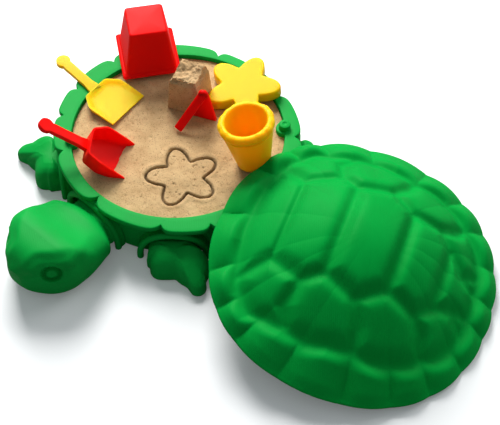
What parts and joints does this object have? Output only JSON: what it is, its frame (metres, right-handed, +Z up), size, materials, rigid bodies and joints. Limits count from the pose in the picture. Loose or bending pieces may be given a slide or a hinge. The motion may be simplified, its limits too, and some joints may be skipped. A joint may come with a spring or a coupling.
{
  "type": "tabletop turtle sandbox with lift-off cover",
  "caption": "Small turtle-shaped sandbox: round tub of sand with head and legs, domed shell cover leaning on its rim, and loose sand toys.",
  "frame": {"origin": "middle of the tub's flat underside, on the ground", "axes": "+Z up, -Y towards the turtle's head, +X towards the cover that leans on the rim"},
  "size_m": [0.2752, 0.1887, 0.0562],
  "materials": {
    "basin": "printed green plastic, fine layer lines",
    "locating_peg_rear": "printed green plastic",
    "locating_peg_front": "printed green plastic",
    "head": "printed green plastic, fine layer lines",
    "front_leg_left": "printed green plastic",
    "front_leg_right": "printed green plastic",
    "rear_leg_left": "printed green plastic",
    "rear_leg_right": "printed green plastic",
    "tail": "printed green plastic",
    "sand_fill": null,
    "sand_castle": null,
    "cover": "printed green plastic, fine layer lines",
    "red_bucket": "smooth red plastic",
    "yellow_bucket": "smooth yellow plastic",
    "star_mould": "smooth yellow plastic",
    "yellow_shovel": "smooth yellow plastic",
    "red_scoop": "smooth red plastic",
    "red_rake": "smooth red plastic"
  },
  "bodies": {
    "tub": {"basin": "basin", "locating_peg_rear": "locating_peg_rear", "locating_peg_front": "locating_peg_front", "head": "head", "front_leg_left": "front_leg_left", "front_leg_right": "front_leg_right", "rear_leg_left": "rear_leg_left", "rear_leg_right": "rear_leg_right", "tail": "tail", "sand_fill": "sand_fill", "sand_castle": "sand_castle"},
    "cover": {"cover": "cover"},
    "red_bucket": {"red_bucket": "red_bucket"},
    "yellow_bucket": {"yellow_bucket": "yellow_bucket"},
    "star_mould": {"star_mould": "star_mould"},
    "yellow_shovel": {"yellow_shovel": "yellow_shovel"},
    "red_scoop": {"red_scoop": "red_scoop"},
    "red_rake": {"red_rake": "red_rake"}
  },
  "joints": [
    {"name": "cover_lift", "type": "slide", "parent": "tub", "child": "cover", "axis": [0.6, 0.02, 0.7998], "range_m": [0, 0.12]},
    {"name": "red_bucket_lift", "type": "slide", "parent": "tub", "child": "red_bucket", "axis": [0, 0, 1], "range_m": [0, 0.1]},
    {"name": "yellow_bucket_lift", "type": "slide", "parent": "tub", "child": "yellow_bucket", "axis": [0, 0, 1], "range_m": [0, 0.1]},
    {"name": "star_mould_lift", "type": "slide", "parent": "tub", "child": "star_mould", "axis": [0, 0, 1], "range_m": [0, 0.1]},
    {"name": "yellow_shovel_lift", "type": "slide", "parent": "tub", "child": "yellow_shovel", "axis": [0, 0, 1], "range_m": [0, 0.1]},
    {"name": "red_scoop_lift", "type": "slide", "parent": "tub", "child": "red_scoop", "axis": [0, 0, 1], "range_m": [0, 0.1]},
    {"name": "red_rake_lift", "type": "slide", "parent": "tub", "child": "red_rake", "axis": [0, 0, 1], "range_m": [0, 0.1]}
  ]
}
